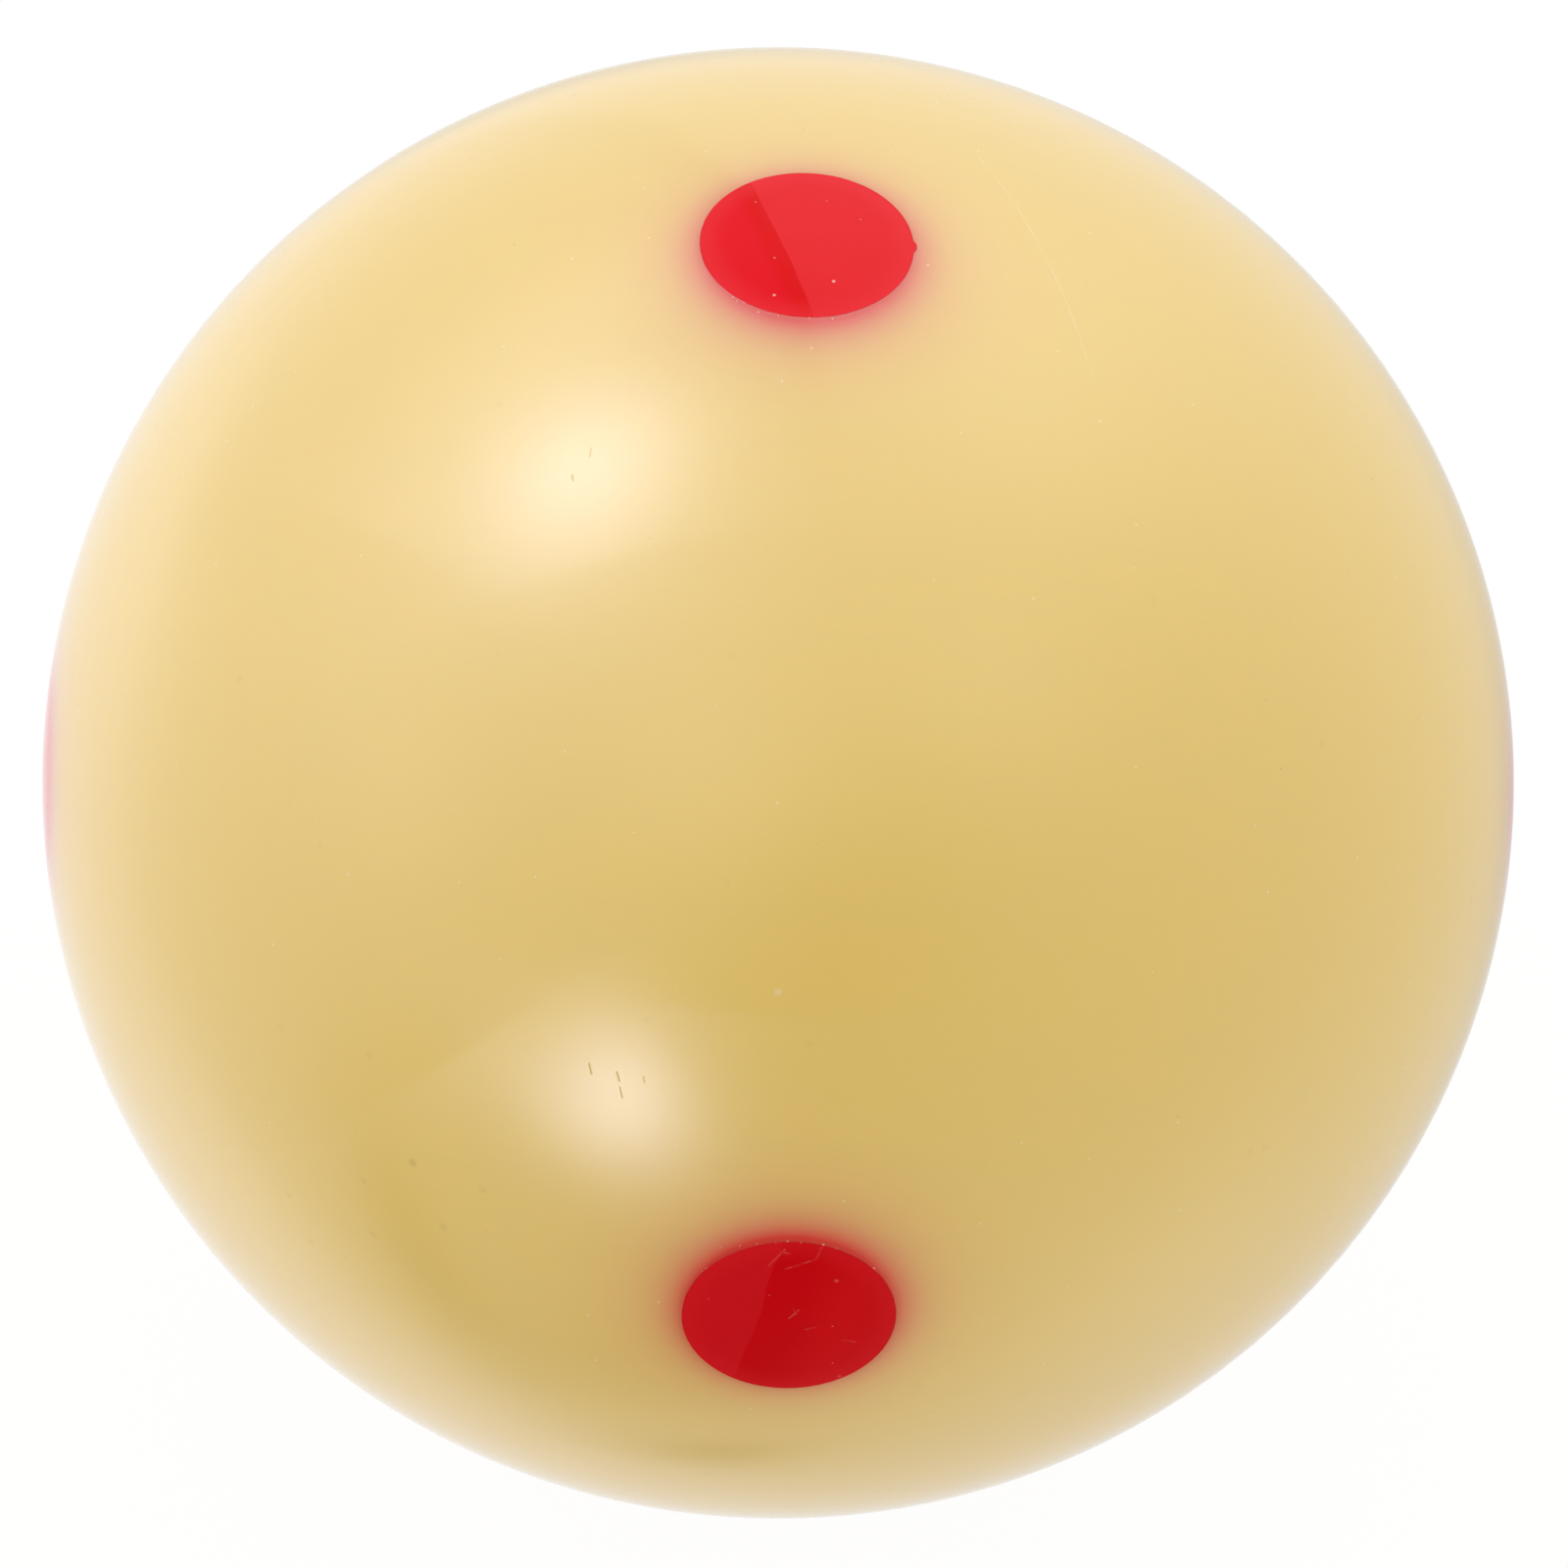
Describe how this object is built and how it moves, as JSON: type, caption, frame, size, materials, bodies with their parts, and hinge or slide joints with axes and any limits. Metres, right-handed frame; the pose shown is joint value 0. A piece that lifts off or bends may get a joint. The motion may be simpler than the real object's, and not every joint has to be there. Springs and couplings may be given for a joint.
{
  "type": "pool cue ball",
  "caption": "Ivory cast-resin cue ball for pool with inlaid round red dots on its axes and a dense core, polished to a smooth sphere.",
  "frame": {"origin": "centre of the ball", "axes": "+Z through the top dot, -Y through the front dot, +X through the right dot; the ball stands on its bottom dot"},
  "size_m": [0.0572, 0.0572, 0.0572],
  "materials": {
    "ivory_resin": "cast and polished, slightly translucent",
    "red_resin": "cast and polished flush with the ball",
    "filled_core_resin": "as cast, matt"
  },
  "bodies": {
    "root": {"core": "filled_core_resin", "ball_body": "ivory_resin", "dot_plug_top": "red_resin", "dot_plug_bottom": "red_resin", "dot_plug_front": "red_resin", "dot_plug_back": "red_resin", "dot_plug_left": "red_resin", "dot_plug_right": "red_resin"}
  },
  "joints": []
}
